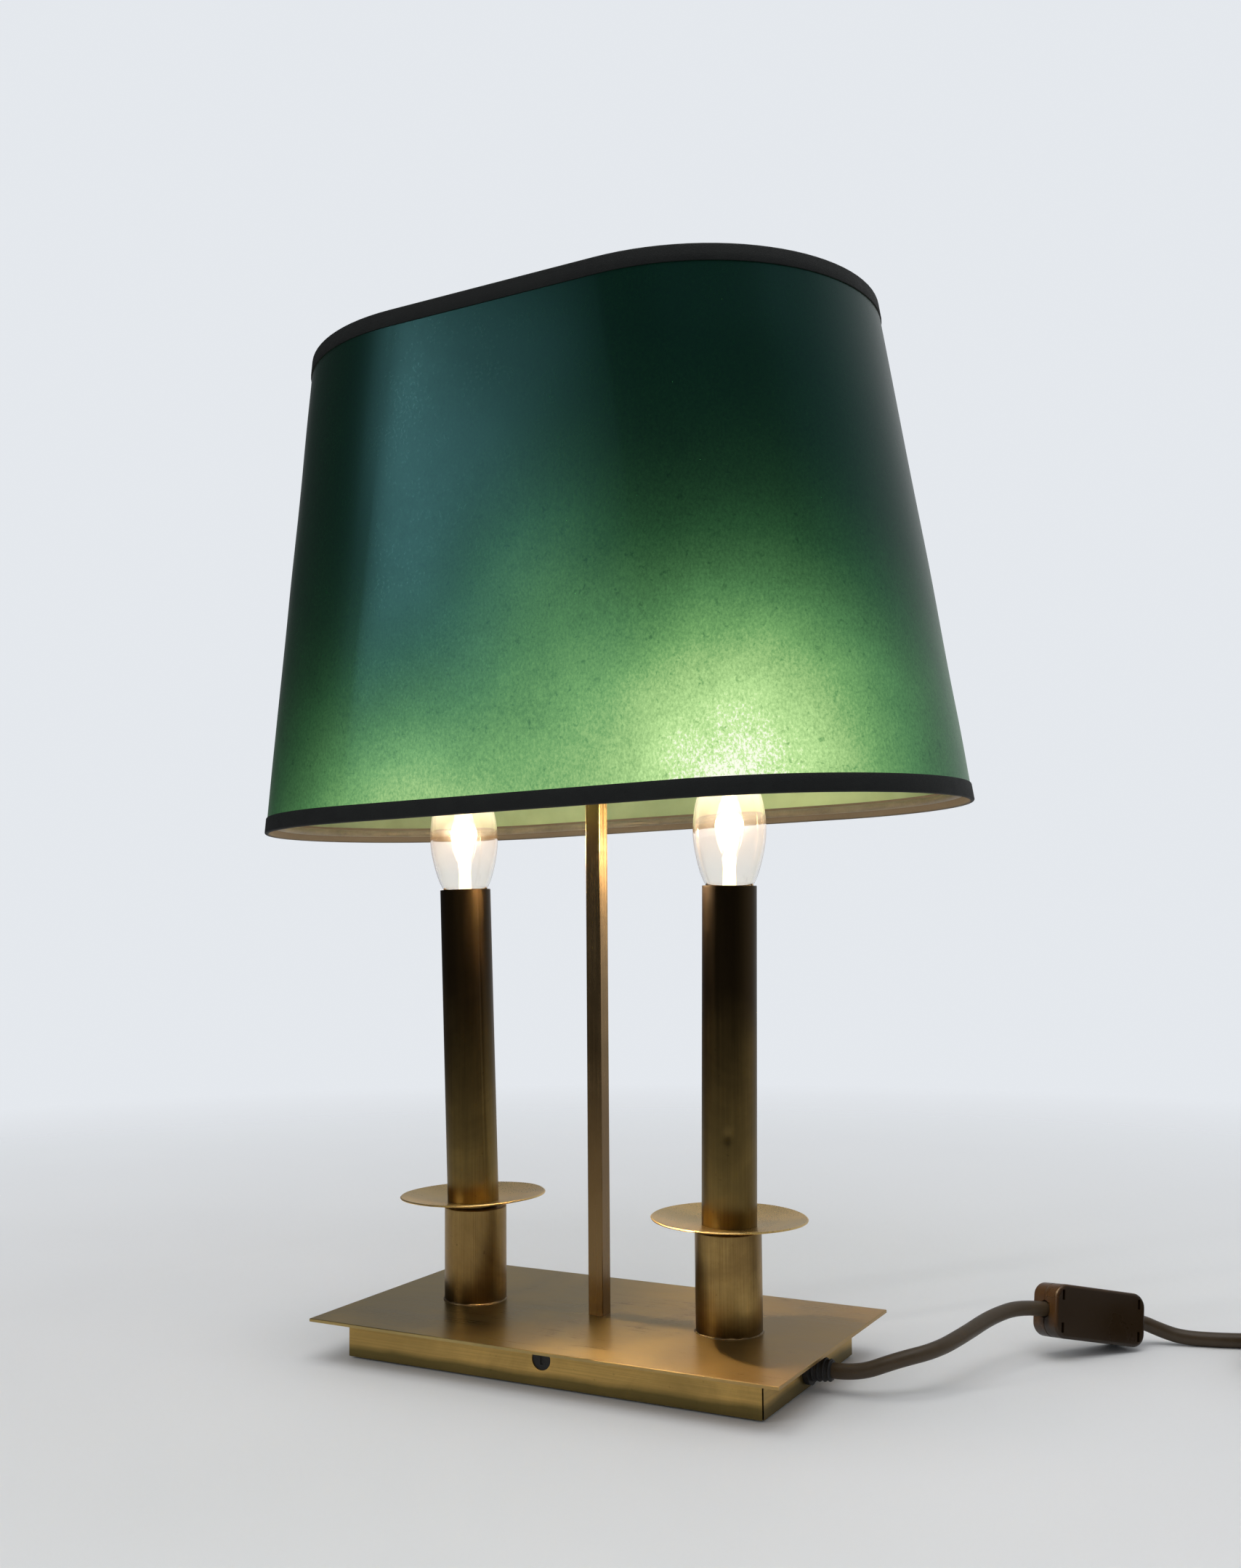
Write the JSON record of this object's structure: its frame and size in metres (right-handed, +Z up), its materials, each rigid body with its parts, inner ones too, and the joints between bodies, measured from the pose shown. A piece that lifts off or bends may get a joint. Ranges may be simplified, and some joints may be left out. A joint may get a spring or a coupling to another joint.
{
  "type": "bouillotte lamp",
  "caption": "Bouillotte table lamp: brass box base, candle lights on drip pans, square stem, tapered oval paper shade that slides and clamps, corded in-line switch.",
  "frame": {"origin": "under the centre of the base, on the surface that the lamp stands on", "axes": "+X along the base towards the cord's end, +Y to the back, +Z up along the stem"},
  "size_m": [0.5707, 0.2708, 0.524],
  "materials": {
    "plate_brass": "brushed, lacquered, worn",
    "aged_brass": "satin, brown patina",
    "plated_steel": "zinc plated",
    "cast_ballast": "as cast",
    "black_rubber": "matte",
    "green_felt": "felt",
    "holder_plastic": "moulded",
    "cap_metal": "satin",
    "bulb_glass": "clear",
    "mount_glass": "clear, with lead wires",
    "filament": "glowing tungsten",
    "shade_paper": "mottled green parchment paper",
    "shade_lining": "pale matte",
    "black_tape": "woven satin",
    "painted_wire": "satin",
    "cord_sheath": "satin, brown",
    "switch_plastic": "worn gloss, brown",
    "rocker_plastic": "satin",
    "tie_fabric": "hook and loop"
  },
  "bodies": {
    "base": {"ballast_bars": "cast_ballast", "base_felt": "green_felt", "base_plate": "plate_brass", "base_tray": "plate_brass", "bottom_cover": "plated_steel", "candle_rods": "plated_steel", "candle_tube_left": "aged_brass", "candle_tube_right": "aged_brass", "coil_tie": "tie_fabric", "cord_clamp": "holder_plastic", "cord_coil": "cord_sheath", "cord_lamp": "cord_sheath", "cord_mains": "cord_sheath", "cord_sheath": "cord_sheath", "cord_tail": "cord_sheath", "cover_pillars": "plated_steel", "cover_screws": "plated_steel", "drip_pan_left": "aged_brass", "drip_pan_right": "aged_brass", "finial": "aged_brass", "front_plug": "black_rubber", "inner_wires": "cord_sheath", "lampholder_contacts": "plated_steel", "lampholder_left": "holder_plastic", "lampholder_right": "holder_plastic", "lampholder_shells": "plated_steel", "lock_nuts": "plated_steel", "pan_nuts": "plated_steel", "plug_body": "switch_plastic", "plug_pins": "plated_steel", "seat_washers": "aged_brass", "socket_caps": "aged_brass", "socket_tube_left": "aged_brass", "socket_tube_right": "aged_brass", "stem": "aged_brass", "stem_screw": "plated_steel", "strain_relief": "black_rubber", "switch_base": "switch_plastic", "switch_cover": "switch_plastic", "switch_terminals": "plated_steel", "terminal_block": "holder_plastic"},
    "shade": {"shade_paper": "shade_paper", "shade_lining": "shade_lining", "tape_low": "black_tape", "tape_high": "black_tape", "shade_rings": "painted_wire", "shade_spider": "painted_wire", "shade_carrier": "aged_brass", "ring_nut": "aged_brass"},
    "clamp_key": {"clamp_key": "aged_brass"},
    "switch_rocker": {"switch_rocker": "rocker_plastic"},
    "bulb_left_cap": {"bulb_cap_left": "cap_metal"},
    "bulb_left_glass": {"bulb_glass_left": "bulb_glass", "bulb_mount_left": "mount_glass", "bulb_filament_left": "filament"},
    "bulb_right_cap": {"bulb_cap_right": "cap_metal"},
    "bulb_right_glass": {"bulb_glass_right": "bulb_glass", "bulb_mount_right": "mount_glass", "bulb_filament_right": "filament"}
  },
  "joints": [
    {"name": "shade_height", "type": "slide", "parent": "base", "child": "shade", "axis": [0, 0, 1], "range_m": [-0.09, 0.022]},
    {"name": "clamp_key_turn", "type": "hinge", "parent": "shade", "child": "clamp_key", "pos_m": [0, -0.009, 0.464], "axis": [0, -1, 0], "range_deg": [0, 180]},
    {"name": "rocker_throw", "type": "hinge", "parent": "base", "child": "switch_rocker", "pos_m": [0.20483, 0.12011, 0.01655], "axis": [0.01, 0.25, 0.9682], "range_deg": [0, 16]},
    {"name": "bulb_left_rise", "type": "slide", "parent": "base", "child": "bulb_left_cap", "axis": [-0.0297, 0, 0.9996], "range_m": [0, 0.01421]},
    {"name": "bulb_left_turn", "type": "hinge", "parent": "bulb_left_cap", "child": "bulb_left_glass", "pos_m": [-0.0717, 0, 0.0205], "axis": [-0.0297, 0, 0.9996], "range_deg": [0, 1800]},
    {"name": "bulb_right_rise", "type": "slide", "parent": "base", "child": "bulb_right_cap", "axis": [0.014, 0, 0.9999], "range_m": [0, 0.01421]},
    {"name": "bulb_right_turn", "type": "hinge", "parent": "bulb_right_cap", "child": "bulb_right_glass", "pos_m": [0.0689, 0, 0.0205], "axis": [0.014, 0, 0.9999], "range_deg": [0, 1800]}
  ],
  "couplings": [
    {"joint": "bulb_left_rise", "follows": "bulb_left_turn", "m_per_rad": 0.00044914},
    {"joint": "bulb_right_rise", "follows": "bulb_right_turn", "m_per_rad": 0.00044914}
  ]
}
